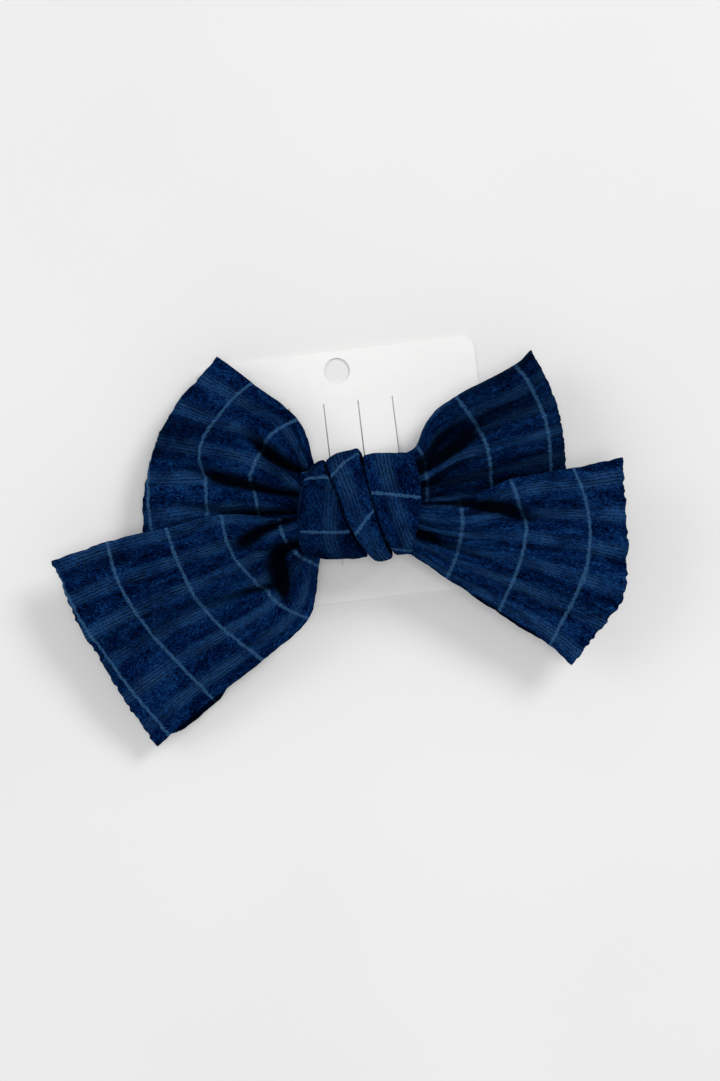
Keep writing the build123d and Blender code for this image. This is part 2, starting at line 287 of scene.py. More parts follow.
# ---- shader helpers -------------------------------------------------------------------------
class Nodes:
    """A material's node tree with short ways to add to it."""

    def __init__(self, name):
        self.material = bpy.data.materials.new(name)
        self.material.use_nodes = True
        self.tree = self.material.node_tree
        self.shader = self.tree.nodes["Principled BSDF"]

    def add(self, kind, values=(), **settings):
        node = self.tree.nodes.new(kind)
        for key, value in settings.items():
            setattr(node, key, value)
        for key, value in dict(values).items():
            if isinstance(value, bpy.types.NodeSocket):
                self.tree.links.new(value, node.inputs[key])
            else:
                node.inputs[key].default_value = value
        return node

    def math(self, operation, a, b=0.0, c=0.0):
        return self.add("ShaderNodeMath", {0: a, 1: b, 2: c}, operation=operation).outputs[0]

    def ramp(self, value, low, high, to_low=0.0, to_high=1.0):
        node = self.add("ShaderNodeMapRange", {
            "Value": value, "From Min": low, "From Max": high,
            "To Min": to_low, "To Max": to_high,
        }, interpolation_type="SMOOTHSTEP")
        return node.outputs[0]

    def mix(self, factor, a, b):
        node = self.add("ShaderNodeMix", {"Factor": factor}, data_type="RGBA")
        for key, value in ((6, a), (7, b)):
            if isinstance(value, bpy.types.NodeSocket):
                self.tree.links.new(value, node.inputs[key])
            else:
                node.inputs[key].default_value = (*value, 1)
        return node.outputs[2]

    def noise(self, vector, scale, detail=2.0, rough=0.5):
        node = self.add("ShaderNodeTexNoise", {
            "Vector": vector, "Scale": scale, "Detail": detail, "Roughness": rough,
        })
        return node.outputs["Fac"]

    def link(self, value, socket):
        self.tree.links.new(value, self.shader.inputs[socket])

    def bump(self, height, strength, distance):
        node = self.add("ShaderNodeBump", {
            "Height": height, "Strength": strength, "Distance": distance,
        })
        self.link(node.outputs[0], "Normal")


def periodic(n, value, pitch, offset, half_width, soft):
    """1 on lines of a half width that come back at each pitch, and 0 between them."""
    shifted = n.math("ADD", value, pitch * 1000.5 - offset)
    inside = n.math("MODULO", shifted, pitch)
    gap = n.math("ABSOLUTE", n.math("SUBTRACT", inside, pitch / 2))
    return n.ramp(gap, half_width - soft, half_width + soft, 1.0, 0.0)


def crepe_grain(n, uv, along, across):
    """The crepe's short puckers, slanting one way in some patches and back in others, and threads."""
    cells_along, cells_across = 0.66, 2.8
    warp = n.math("MULTIPLY", n.noise(uv, 28.0, 2.0), 2.0)
    slants = []
    for turn in (33.0, -28.0):
        c, s = math.cos(math.radians(turn)), math.sin(math.radians(turn))
        forward = n.math("MULTIPLY_ADD", along, c, n.math("MULTIPLY", across, s))
        sideways = n.math("MULTIPLY_ADD", along, -s, n.math("MULTIPLY_ADD", across, c, warp))
        place = n.add("ShaderNodeCombineXYZ", {
            0: n.math("MULTIPLY", forward, cells_along),
            1: n.math("MULTIPLY", sideways, cells_across),
            2: turn,
        }).outputs[0]
        slants.append(n.noise(place, 1.0, 1.0, 0.55))
    swap = n.ramp(n.noise(uv, 34.0, 1.0), 0.44, 0.56)
    crepe = n.add("ShaderNodeMix", {"Factor": swap, 2: slants[0], 3: slants[1]}).outputs[0]
    lengthwise = n.add("ShaderNodeCombineXYZ", {
        0: n.math("MULTIPLY", along, 0.35),
        1: n.math("MULTIPLY", across, 1.25),
    }).outputs[0]
    thread = n.noise(lengthwise, 2.5, 2.0, 0.6)
    return n.math("ADD", n.math("MULTIPLY", crepe, 0.66), n.math("MULTIPLY", thread, 0.34))


def check_masks(n, uv, along, across, stripe_offset, group_offset):
    """Where the check's stripes, fine lines and groups of lines are, wavering with the puckers."""
    waver = n.noise(uv, 70.0, 3.0)
    along = n.math("MULTIPLY_ADD", waver, 1.3, along)
    across = n.math("MULTIPLY_ADD", waver, 0.9, across)
    # The waver's mean shifts the check by this much, which the offsets make up for.
    stripe_offset += 0.65
    group_offset += 0.45
    stripe = periodic(n, along, STRIPE_PITCH, stripe_offset, 0.48, 0.26)
    fine = periodic(n, across, LINE_PITCH, group_offset + LINE_PITCH / 2, 0.28, 0.26)
    group = periodic(n, across, GROUP_PITCH, group_offset, 2 * LINE_PITCH, 1.2)
    patch = n.noise(uv, 9.0, 2.0, 0.5)
    group = n.math("MULTIPLY", group, n.ramp(patch, 0.38, 0.62, 0.3, 1.0))
    return stripe, fine, group


def cloth_material(name, stripe_offset, group_offset):
    """Navy crinkle crepe: single light stripes across, groups of four fine lines along."""
    n = Nodes(name)
    uv = n.add("ShaderNodeUVMap", uv_map="cloth").outputs[0]
    measure = n.add("ShaderNodeSeparateXYZ", {0: uv})
    along = n.math("MULTIPLY", measure.outputs[0], 100.0)
    across = n.math("MULTIPLY", measure.outputs[1], 100.0)
    shade_and_pucker = n.add("ShaderNodeSeparateXYZ", {0: n.add("ShaderNodeUVMap", uv_map="shade_and_pucker").outputs[0]})
    painted_shade_amount, pucker = shade_and_pucker.outputs[0], shade_and_pucker.outputs[1]
    grain = crepe_grain(n, uv, along, across)
    speck = n.noise(uv, 210.0, 3.0, 0.7)
    stripe, fine, group = check_masks(n, uv, along, across, stripe_offset, group_offset)

    # Painted shade at the bottoms of the puckers and a painted highlight on their tops.
    lit = n.math("ADD", n.math("MULTIPLY", grain, 0.82), n.math("MULTIPLY", pucker, 0.18))
    colour = n.mix(n.ramp(lit, 0.40, 0.51), PUCKER_SHADE_BLUE, PLAIN_BLUE)
    colour = n.mix(n.ramp(lit, 0.51, 0.61), colour, PUCKER_HIGHLIGHT_BLUE)
    broken = n.math("MULTIPLY_ADD", n.ramp(speck, 0.40, 0.60), 0.6, 0.4)
    lines = n.math("MULTIPLY", n.math("MULTIPLY", fine, group), 0.80)
    colour = n.mix(n.math("MULTIPLY", lines, broken), colour, LINE_BLUE)
    colour = n.mix(n.math("MULTIPLY", group, 0.10), colour, LINE_BLUE)
    # The folds get painted shade inside, and their stripes fade less than the cloth round them.
    painted_fold_shade = n.ramp(painted_shade_amount, 0.12, 0.95, 0.0, 0.94)
    colour = n.mix(painted_fold_shade, colour, FOLD_SHADE_BLUE)
    in_light = n.math("SUBTRACT", 1.0, n.math("MULTIPLY", painted_fold_shade, painted_fold_shade))
    dotted = n.math("MULTIPLY_ADD", n.ramp(speck, 0.43, 0.57), 0.60, 0.38)
    thread = n.math("MULTIPLY", n.math("MULTIPLY", stripe, dotted), in_light)
    colour = n.mix(thread, colour, STRIPE_BLUE)

    n.link(colour, "Base Color")
    n.link(n.ramp(grain, 0.3, 0.7, 0.95, 0.75), "Roughness")
    n.shader.inputs["Specular IOR Level"].default_value = 0.0
    n.shader.inputs["Sheen Weight"].default_value = 0.02
    n.shader.inputs["Sheen Roughness"].default_value = 0.4
    n.shader.inputs["Sheen Tint"].default_value = (0.1, 0.4, 0.9, 1)
    n.bump(n.math("ADD", grain, n.math("MULTIPLY", speck, 0.25)), 1.0, 0.0014)
    return n.material


def card_material():
    n = Nodes("card_stock")
    place = n.add("ShaderNodeTexCoord").outputs["Object"]
    fleck = n.noise(place, 900.0, 3.0)
    cloud = n.noise(place, 30.0, 2.0)
    shade = n.mix(n.ramp(cloud, 0.3, 0.7), (0.86, 0.86, 0.855), (0.89, 0.89, 0.885))
    face = n.mix(n.math("MULTIPLY", fleck, 0.12), shade, (0.82, 0.82, 0.81))
    # The cut edges show the board's pulp.
    normal = n.add("ShaderNodeNewGeometry").outputs["Normal"]
    up = n.add("ShaderNodeSeparateXYZ", {0: normal}).outputs[2]
    pulp = n.ramp(n.math("ABSOLUTE", up), 0.7, 0.96, 0.6, 0.0)
    n.link(n.mix(pulp, face, (0.50, 0.44, 0.36)), "Base Color")
    n.link(n.ramp(fleck, 0.3, 0.7, 0.42, 0.58), "Roughness")
    n.shader.inputs["Specular IOR Level"].default_value = 0.4
    n.bump(fleck, 0.25, 0.0001)
    return n.material


def steel_material(name, colour, rough, stretch=(1.0, 1.0, 1.0)):
    n = Nodes(name)
    place = n.add("ShaderNodeTexCoord").outputs["Object"]
    brushed = n.add("ShaderNodeVectorMath", {0: place, 1: stretch}, operation="MULTIPLY").outputs[0]
    grain = n.noise(brushed, 1500.0, 3.0)
    cloud = n.noise(place, 120.0, 3.0)
    darker = tuple(c * 0.78 for c in colour)
    n.link(n.mix(n.ramp(cloud, 0.3, 0.7), colour, darker), "Base Color")
    n.link(n.ramp(grain, 0.25, 0.75, rough - 0.08, rough + 0.1), "Roughness")
    n.shader.inputs["Metallic"].default_value = 1.0
    n.bump(grain, 0.2, 0.00004)
    return n.material


def plain_material(name, low, high, rough, scale, bump):
    n = Nodes(name)
    place = n.add("ShaderNodeTexCoord").outputs["Object"]
    grain = n.noise(place, scale, 4.0, 0.6)
    n.link(n.mix(n.ramp(grain, 0.3, 0.7), low, high), "Base Color")
    n.link(n.ramp(grain, 0.3, 0.7, rough - 0.08, rough + 0.08), "Roughness")
    n.bump(grain, 0.5, bump)
    return n.material


def ribbon_material():
    """Grosgrain ribbon: close ribs across the strip."""
    n = Nodes("grosgrain")
    place = n.add("ShaderNodeTexCoord").outputs["Object"]
    rib = n.add("ShaderNodeTexWave", {"Vector": place, "Scale": 260.0, "Distortion": 0.4},
                bands_direction="X").outputs["Fac"]
    n.link(n.mix(rib, (0.002, 0.008, 0.035), (0.006, 0.026, 0.10)), "Base Color")
    n.link(n.ramp(rib, 0.2, 0.8, 0.85, 0.65), "Roughness")
    n.bump(rib, 0.6, 0.0002)
    return n.material


# ---- the four lobes -------------------------------------------------------------------------
# stations cross a lobe from its upper to its lower edge. Each is (distance along the cloth at the
# upper edge, the same at the lower edge, points).
# valleys and ridges are paths of (x, y, depth, width).
# stripe and group are the check's offsets along and across.
# top and bottom are planes of (height, slope in x, slope in y), and crown is the bulge of the top.
# A loop's fold_z and fold_run are the height and run of its outer fold, its base shade is painted
# shade over all of it, and press lowers the part that a tail lies on (from y, to y, depth).
# A tail's gap is the way between its two layers, and peek is where the lower one stands out
# (from, to, out in x, out in y).
LOBES = {
    "upper_left_loop": dict(
        kind="loop", seed=11, stripe=15.0, group=8.3, press=(4, -4, 5.0),
        top=(15.6, 0.0, 0.0), bottom=(5.0, -0.06, 0.0),
        fold_z=9.0, fold_run=13.0, crown=1.5, painted_base_shade=0.12,
        stations=[
            (0, 0, [(-11.5, 13), (-13.5, 11), (-14.5, 7), (-15, 3), (-15, 0), (-14.5, -4)]),
            (15, 15, [(-15.1, 27.9), (-21.5, 25.4), (-25.6, 21.8), (-29.3, 16.4), (-31.3, 10.5),
                      (-30, 3), (-31, -4)]),
            (33, 33, [(-27.4, 40.5), (-34.4, 35.8), (-40.3, 30.1), (-44.3, 24.7), (-45.5, 19.6),
                      (-45, 8), (-47, -6)]),
            (46.5, 55, [(-36.9, 50.2), (-44, 43.5), (-51.5, 36.7), (-57.8, 27.6), (-62.4, 17.4),
                        (-64.5, 9), (-65.6, 0.5), (-65, -8)]),
        ],
        valleys=[
            [(-14, 11.3, 7, 1.6), (-19.5, 14.5, 9, 2.2), (-23.7, 17.8, 9.5, 3.0),
             (-26.5, 21, 6.5, 2.8),
             (-30.3, 25.7, 2.2, 2.6), (-36, 31, 0.8, 2.6)],
            [(-16, 5, 7, 1.4), (-24.3, 7, 8, 1.7), (-34.3, 10.8, 9, 2.4), (-40.9, 13.3, 8, 2.6),
             (-44.5, 15.2, 4, 2.5), (-52, 18.5, 1.2, 2.8)],
            [(-16, -0.2, 6, 1.4), (-30, 1.4, 5, 1.7), (-38.7, 2.6, 3.5, 1.8), (-55.5, 6.7, 1.6, 1.8)],
        ],
        ridges=[
            [(-15, 16, 1.5, 3), (-22, 24, 2.2, 4), (-28, 34, 1.2, 5)],
            [(-17, 8.5, 1.5, 3), (-28, 13.5, 2.0, 4), (-40, 21, 1.2, 5)],
            [(-17, 1.5, 1.0, 2.2), (-30, 5, 1.6, 3), (-45, 9, 0.8, 4)],
        ],
    ),
    "upper_right_loop": dict(
        kind="loop", seed=21, stripe=5.0, group=11.3, press=(5.5, -3, 6.0),
        top=(21.0, 0.02, 0.0), bottom=(11.6, -0.01, 0.0),
        fold_z=16.0, fold_run=11.0, crown=1.5, painted_base_shade=0.45,
        stations=[
            (0, 0, [(15.5, 13), (16.5, 10), (17, 6), (17, 2), (16.5, -3)]),
            (5, 5, [(20.2, 15.5), (21.4, 12), (22, 7), (21.7, 2), (21, -4)]),
            (13.5, 13.5, [(25.2, 23.2), (28.6, 17.5), (31, 12), (31.4, 6), (31, 0.5), (30, -5)]),
            (23, 23, [(33.5, 28.6), (37.3, 21.8), (40.3, 15.7), (41.1, 9.2), (41, 1.5), (40, -6)]),
            (41, 41, [(52.3, 36.2), (55.6, 30.2), (58.6, 21.2), (59.5, 13.4), (59, 3), (57, -7)]),
            (47, 47.5, [(57.7, 40.2), (61.5, 30.6), (63.7, 21.5), (64.3, 12.8), (63.6, 3), (61, -8)]),
        ],
        valleys=[
            [(16, 6.6, 7, 1.6), (22.7, 9.1, 8, 2.2), (30.2, 13, 8.5, 3.0), (35.6, 15.7, 6.5, 3.1),
             (39.8, 18.3, 3.5, 2.8), (46, 21.5, 2.4, 3.6), (52, 23.5, 2.0, 4), (58, 25, 0.6, 4)],
            [(17, 2.6, 4, 1.3), (26, 3.2, 3, 1.6), (40, 4.5, 2.5, 1.7), (56, 8.5, 1.2, 1.7)],
        ],
        ridges=[
            [(18, 12, 1.0, 3), (28, 20, 1.8, 4.5), (42, 29, 1.0, 6)],
            [(18, 4.5, 1.2, 2.6), (30, 7, 1.6, 3.5), (45, 12, 0.8, 5)],
        ],
    ),
    "lower_left_tail": dict(
        kind="tail", seed=31, stripe=0.0, group=2.2, peek=(47, 73, 0.7, -1.6),
        top=(22.8, 0.02, 0.19), gap=4.2, crown=1.2,
        stations=[
            (-8, -3, [(-14.5, -1), (-15, -5.5), (-14.8, -10), (-13.2, -14)]),
            (0, 0, [(-24, -1.2), (-23.2, -6.5), (-20.5, -12), (-13.9, -17)]),
            (18, 18, [(-41, 1.9), (-40, -7.7), (-36.8, -14.6), (-31.8, -21.3), (-27, -27.3),
                      (-19, -32.3)]),
            (36, 36, [(-58, -0.1), (-55.9, -9.9), (-51.3, -23), (-44.5, -32.6), (-34.2, -43.2)]),
            (54, 54, [(-76.2, -2.2), (-74.5, -14), (-68, -28.9), (-61.2, -38.9), (-50.7, -53.4)]),
            (71.5, 77.5, [(-93.5, -5.9), (-88.6, -24), (-81.8, -40.2), (-76, -53.5), (-70, -65.9)]),
        ],
        valleys=[
            [(-15, -1.6, 5, 1.3), (-21.6, -2.2, 6, 1.5), (-29.5, -4.4, 7, 1.9), (-34.6, -6.6, 8, 2.6),
             (-38.2, -8.6, 3.0, 1.8), (-41, -10.5, 0.6, 1.5)],
            [(-17, -9.4, 6, 1.5), (-21.5, -9.9, 7.5, 2.1), (-25.4, -11.8, 8.5, 3.4),
             (-26.2, -16.5, 9, 4.0), (-25.5, -21, 8.5, 3.5), (-24.6, -26, 3, 1.6)],
            [(-28.5, -21.5, 5, 1.6), (-35.2, -21.9, 4.2, 1.6), (-41, -23.2, 3.2, 1.6),
             (-47.1, -24.2, 2.4, 1.8), (-58, -25.5, 1.4, 2.0), (-70, -27, 0.5, 2.5)],
            [(-52, -47, 0.8, 2.5), (-62, -54, 1.2, 2.5), (-70, -60, 0.7, 2.5)],
        ],
        ridges=[
            [(-17, -0.3, 0.8, 2), (-28, -0.2, 1.2, 2.4), (-42, 0, 0.8, 3)],
            [(-17, -6.4, 2.4, 2.0), (-24, -6.8, 4.0, 2.1), (-30, -9.2, 5.0, 2.2),
             (-32.0, -14.5, 4.6, 2.2),
             (-30.5, -21, 1.6, 2.6)],
            [(-17, -17, 2.0, 2.4), (-20.5, -23, 2.6, 2.6), (-22, -30, 1.6, 3.2), (-30, -38, 0.8, 5)],
            [(-40, -19, 0.9, 3.5), (-55, -20, 1.0, 4), (-72, -20, 0.5, 5)],
        ],
    ),
    "lower_right_tail": dict(
        kind="tail", seed=41, stripe=14.0, group=5.5, peek=(20, 50, -0.4, -0.8),
        top=(24.8, 0.06, 0.21), gap=3.6, crown=1.2,
        stations=[
            (0, 0, [(15.5, -1.5), (16, -6), (15.5, -11), (13.5, -15.5)]),
            (14, 14, [(30.8, -2.2), (30.6, -10), (28.3, -17.8), (24.2, -25.2)]),
            (32, 32, [(46.5, 1.6), (49.3, -9), (48.6, -17), (44.6, -27), (38.8, -36.8)]),
            (50, 50, [(65.5, 2.9), (68.3, -9), (67.7, -20.5), (63.8, -32), (53, -49)]),
            (65, 60, [(80.1, 4.3), (79.4, -14), (78.4, -26), (76, -37.5), (69.5, -45), (59, -56)]),
        ],
        valleys=[
            [(16, -1.8, 5, 1.3), (22, -2.2, 5, 1.3), (27.6, -2.9, 6.5, 1.6), (38.4, -5.0, 7.5, 2.4),
             (44.9, -7.2, 7.5, 2.9), (49.5, -9.4, 4.5, 2.8), (56, -11, 1.4, 3), (68, -12, 0.4, 4)],
            [(15, -9.6, 8, 1.8), (20, -12.1, 7.5, 2.1), (25, -14.8, 3.6, 2.2), (32, -17.5, 1.0, 2.2)],
            [(38, -30, 0.8, 2.5), (50, -37, 1.3, 3), (62, -43, 1.1, 3), (70, -45, 0.5, 3)],
        ],
        ridges=[
            [(17, -6, 1.2, 2.6), (28, -8.5, 1.6, 3), (45, -13, 1.2, 3.5), (62, -18, 0.5, 5)],
            [(40, -2, 1.6, 3), (52, -3, 1.6, 3.6), (66, -3.5, 0.8, 4)],
            [(17, -16, 1.2, 2.6), (26, -21, 1.0, 3.5), (40, -28, 0.6, 5)],
        ],
    ),
}


def long_folds(along, v, seed):
    """Low waves that run the length of the cloth, and the shade in their troughs."""
    wave = value_noise(v * 11 + 0.3 * value_noise(along / 20, v * 4, seed + 6), along / 55, seed + 5)
    return 0.75 * wave, 0.46 * smooth(0.1, 0.75, -wave)


def lobe_grid(spec):
    """Plan positions and cloth measure of a lobe on an even grid: x, y, along, across."""
    across_count = int(STRIP_WIDTH / GRID_STEP)
    rows = np.stack([resample(points, across_count) for _, _, points in spec["stations"]])
    v = np.linspace(0, 1, across_count)
    measure = np.stack([low + (high - low) * v for low, high, _ in spec["stations"]])
    length = float(measure[-1].mean() - measure[0].mean())
    along_count = int(length / GRID_STEP)
    mean = measure.mean(axis=1)
    where = np.interp(np.linspace(mean[0], mean[-1], along_count), mean, np.arange(len(mean)))
    plan = catmull(rows, where)
    along = catmull(measure, where)
    across = np.broadcast_to(v * STRIP_WIDTH, along.shape)
    return plan[..., 0], plan[..., 1], along, across, np.broadcast_to(v, along.shape)


def loop_surface(spec):
    """The loop as one strip: out over the top, round the outer fold and back beneath."""
    x, y, along, across, v = lobe_grid(spec)
    seed = spec["seed"]
    end = along[-1][None, :]
    from_fold = end - along
    ease = smooth(0, spec["fold_run"], from_fold)
    folds, shift_x, shift_y, shade = fold_shape(x, y, spec["valleys"], spec["ridges"])
    c, a, b = spec["top"]
    top = c + a * x + b * y + spec["crown"] * np.sin(math.pi * v) * smooth(0, 25, along)
    waves, troughs = long_folds(along, v, seed)
    top += (folds + pleats(along, v, 5, 0.9, 16, seed) + waves) * ease
    # The part that the tail lies on is pressed down.
    from_y, to_y, press = spec["press"]
    top -= press * smooth(-from_y, -to_y, -y) * ease
    c, a, b = spec["bottom"]
    low = c + a * x + b * y + pleats(along, v, 6, 1.1, 30, seed + 3)
    round_off = np.sqrt(np.clip(1 - (1 - np.clip(from_fold / spec["fold_run"], 0, 1)) ** 2, 0, 1))
    top_z = spec["fold_z"] + (top - spec["fold_z"]) * round_off
    low_z = spec["fold_z"] + (low - spec["fold_z"]) * round_off
    # The cloth's edges dip towards each other a little.
    edge = np.exp(-np.minimum(v, 1 - v) * STRIP_WIDTH / 2.2)
    top_z -= 1.3 * edge * round_off
    low_z += 1.0 * edge * round_off
    low_z = np.minimum(low_z, top_z - 1.3 * round_off)
    upper = np.stack([x + shift_x * ease, y + shift_y * ease, top_z], axis=-1)
    lower = np.stack([x, y, low_z], axis=-1)[::-1][1:]
    points = np.concatenate([upper, lower])
    uv = np.concatenate([
        np.stack([along, across], axis=-1),
        np.stack([2 * end - along, across], axis=-1)[::-1][1:],
    ])
    # A patchy painted shade over the whole loop, with the painted shade of the long folds' troughs.
    # The underside gets none.
    painted_base_shade = spec["painted_base_shade"] * (1 + 0.6 * value_noise(v * 7, along / 30, seed + 8))
    depth = np.concatenate([np.maximum(shade * ease, painted_base_shade + troughs), 0 * shade[1:]])
    points, height = displaced(points, uv, PUCKER_HEIGHT, seed, wrap=False)
    return points, uv, shade_and_pucker_of(depth, height)


def tail_surface(spec):
    """The tail as a flattened tube: its top from edge to edge, then its underside back."""
    x, y, along, across, v = lobe_grid(spec)
    seed = spec["seed"]
    c, a, b = spec["top"]
    base = c + a * x + b * y
    folds, shift_x, shift_y, shade = fold_shape(x, y, spec["valleys"], spec["ridges"])
    top = base + spec["crown"] * np.sin(math.pi * v) * smooth(-5, 25, along)
    waves, troughs = long_folds(along, v, seed)
    top = top + folds + pleats(along, v, 5, 0.8, 15, seed) + waves
    shade = np.maximum(shade, troughs)
    edge_round = np.sqrt(np.clip(1 - (1 - np.clip(np.minimum(v, 1 - v) / 0.05, 0, 1)) ** 2, 0, 1))
    gap = spec["gap"] * (0.35 + 0.65 * np.sin(math.pi * v))
    low = base - gap + pleats(along, v, 6, 0.9, 40, seed + 3)
    low = np.minimum(low, top - 1.1)
    low = np.maximum(low, base - spec["gap"] - 4.2)
    top = np.maximum(top, low + 1.0)
    middle = (top + low) / 2
    top = middle + (top - middle) * edge_round
    low = middle + (low - middle) * edge_round
    # Where the two layers of the tube don't lie quite over each other.
    from_u, to_u, out_x, out_y = spec["peek"]
    peek = smooth(from_u, from_u + 6, along) * smooth(to_u, to_u - 6, along) * smooth(0.6, 1.0, v)
    under_x, under_y = x + out_x * peek, y + out_y * peek
    points = np.concatenate([
        np.stack([x + shift_x, y + shift_y, top], axis=-1),
        np.stack([under_x, under_y, low], axis=-1)[:, ::-1][:, 1:-1],
    ], axis=1)
    uv = np.concatenate([
        np.stack([along, across], axis=-1),
        np.stack([along, 2 * STRIP_WIDTH - across], axis=-1)[:, ::-1][:, 1:-1],
    ], axis=1)
    points, height = displaced(points, uv, PUCKER_HEIGHT, seed, wrap=True, mirror=2 * STRIP_WIDTH)
    # The underside takes the top's painted shade near the edges, and a near-black painted shade where
    # it peeks out, as does the top's last column there.
    underside_shade = np.maximum(shade * np.exp(-np.minimum(v, 1 - v) / 0.06), 0.97 * peek)
    shade[:, -1] = np.maximum(shade[:, -1], 0.97 * peek[:, -1])
    depth = np.concatenate([shade, underside_shade[:, ::-1][:, 1:-1]], axis=1)
    # The cut end ripples where the puckers reach it.
    reach = np.exp(-(along[-1].mean() - along.mean(axis=1)) / 4)[:, None]
    ripple = value_noise(uv[-1, :, 1] / 1.25, np.zeros(uv.shape[1]), seed + 9)
    out = points[-1] - points[-4]
    out /= np.linalg.norm(out, axis=-1, keepdims=True)
    points = points + (reach * ripple[None] * 0.5)[..., None] * out[None]
    return points, uv, shade_and_pucker_of(depth, height)


def cloth_lobe(name, spec, material):
    if spec["kind"] == "loop":
        surface, quads, thickness = loop_surface, grid_faces, LOOP_THICKNESS
    else:
        surface, quads, thickness = tail_surface, wrapped_faces, TAIL_THICKNESS
    points, uv, shade_and_pucker = surface(spec)
    faces = quads(*points.shape[:2])
    obj = new_mesh(name + "_cloth", points.reshape(-1, 3), faces, uv.reshape(-1, 2), shade_and_pucker)
    thicken(obj, thickness)
    obj.data.materials.append(material)
    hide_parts(name)
    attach(obj, "bow")
    return obj


def make_lobes():
    for name, spec in LOBES.items():
        obj = cloth_lobe(name, spec, cloth_material(name + "_crepe", spec["stripe"], spec["group"]))


# ---- knot -----------------------------------------------------------------------------------
ARM_TILT = math.radians(6.0)
ARM_HEIGHT = 7.33
KNOT_HALF_DEPTH = 16.0
KNOT_HALF_HEIGHT = 9.1
KNOT_MIDDLE = 10.3
TURNS = {
    # left and right are the x of a turn's sides at even steps from its upper to its lower end.
    # upper and lower are the y of its ends at its left and right side.
    # lift is how far its front stands out, and its base shade is painted shade over all of it.
    # slant is the check's at the upper and the lower end, and stripe and group are its offsets.
    "knot_left_turn": dict(
        left=[-12.4, -15.6, -17.2, -18.2, -18.8, -17.8], right=[-8.6, -6.8, -5.0, -4.0, -2.2, 0.8],
        upper=(13.9, 14.9), lower=(-14.3, -16.6), lift=-0.4,
        painted_base_shade=0.5, seed=51, slant=(-0.1, -0.05), stripe=7.0, group=10.0),
    "knot_cross_turn": dict(
        left=[-8.0, -6.1, -4.2, -3.1, -0.9, 2.4], right=[2.4, 3.4, 4.5, 5.4, 6.6, 8.4],
        upper=(14.4, 16.9), lower=(-16.9, -17.3), lift=0.45,
        painted_base_shade=0.36, seed=61, slant=(0.4, 0.9), stripe=5.0, group=3.4),
    "knot_right_turn": dict(
        left=[3.3, 4.1, 5.1, 6.1, 7.3, 9.2], right=[18.9, 19.9, 20.0, 19.1, 17.2, 14.6],
        upper=(15.1, 13.2), lower=(-16.0, -16.7), lift=0.1,
        painted_base_shade=0.33, seed=71, slant=(-0.13, -0.13), stripe=-2.6, group=6.3),
}
# The arm's tilt carries the knot's front back by this much, which the turns make up for.
TILT_SHIFT = 1.5


def on_arm(points):
    """From the upper arm's tilted frame to millimetres from the knot."""
    x, y, z = points[..., 0], points[..., 1], points[..., 2]
    c, s = math.cos(ARM_TILT), math.sin(ARM_TILT)
    return np.stack([x * c - z * s, y, ARM_HEIGHT + x * s + z * c], axis=-1)


def turn_surface(spec):
    """One turn of the wrap: a flattened tube of cloth led round the waist."""
    around_count, section_count = 190, 96
    ring_power, edge_power, cloth_half = 0.72, 0.42, 1.5
    angle = np.linspace(0, 2 * math.pi, around_count, endpoint=False)
    ring_y = rounded(np.cos(angle), ring_power)
    ring_z = rounded(np.sin(angle), ring_power)
    station = (1 - ring_y) / 2 * 5
    left = catmull(np.array(spec["left"])[:, None], station)
    right = catmull(np.array(spec["right"])[:, None], station)
    core = np.stack([ring_y * KNOT_HALF_DEPTH, ring_z * KNOT_HALF_HEIGHT], axis=1)
    step = np.linalg.norm(np.diff(core, axis=0), axis=1)
    run = np.concatenate([[0], np.cumsum(step)])
    run -= np.interp(0, -core[: around_count // 2, 0], run[: around_count // 2])
    ring_y, ring_z, run = ring_y[:, None], ring_z[:, None], run[:, None]
    section = np.linspace(0, 2 * math.pi, section_count, endpoint=False)[None, :]
    sine = np.sin(section)
    side = rounded(np.cos(section), edge_power)
    share = (1 + side) / 2
    across = left + (right - left) * share
    high = spec["upper"][0] + (spec["upper"][1] - spec["upper"][0]) * share
    low = spec["lower"][0] + (spec["lower"][1] - spec["lower"][0]) * share
    half_depth, middle_y = (high - low) / 2, (high + low) / 2
    tube_rise = cloth_half * rounded(sine, edge_power)
    outer = sine > 0
    rise = tube_rise + 0.35 * (1 - side**2) * outer
    rise = rise + spec["lift"] * smooth(-0.3, 0.3, ring_z)
    # The tube's sides and inside get painted shade, where one turn meets the next.
    flank_shade = smooth(0.9, -0.3, tube_rise)
    wall = np.broadcast_to(np.maximum(flank_shade, spec["painted_base_shade"]), across.shape)
    measure = across - left
    slant = spec["slant"][1] + (spec["slant"][0] - spec["slant"][1]) * (1 + ring_y) / 2
    distance = run + slant * (across - (left + right) / 2)
    gathers = 0.22 * value_noise(measure / 1.9, distance / 11, spec["seed"] + 7)
    rise = rise + gathers * outer
    y = middle_y + ring_y * (half_depth - cloth_half + rise)
    z = KNOT_MIDDLE + ring_z * (KNOT_HALF_HEIGHT - cloth_half + rise)
    points = np.stack([np.broadcast_to(across + TILT_SHIFT, y.shape), y, z], axis=-1)
    along = np.roll(points, -1, axis=0) - np.roll(points, 1, axis=0)
    around = np.roll(points, -1, axis=1) - np.roll(points, 1, axis=1)
    normal = np.cross(along, around)
    normal /= np.linalg.norm(normal, axis=-1, keepdims=True) + 1e-9
    height = crinkle(run + 60, measure + 30, spec["seed"])
    points = points + normal * (KNOT_PUCKER_HEIGHT * height)[..., None]
    uv = np.stack([np.broadcast_to(distance, y.shape), np.broadcast_to(measure, y.shape)], axis=-1)
    return on_arm(points), uv, shade_and_pucker_of(wall, height)


def make_knot():
    for name, spec in TURNS.items():
        points, uv, shade_and_pucker = turn_surface(spec)
        faces = closed_faces(*points.shape[:2])[:, ::-1]
        obj = new_mesh(name + "_cloth", points.reshape(-1, 3), faces, uv.reshape(-1, 2), shade_and_pucker)
        obj.data.materials.append(cloth_material(name + "_crepe", spec["stripe"], spec["group"]))
        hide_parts(name)
        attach(obj, "bow")


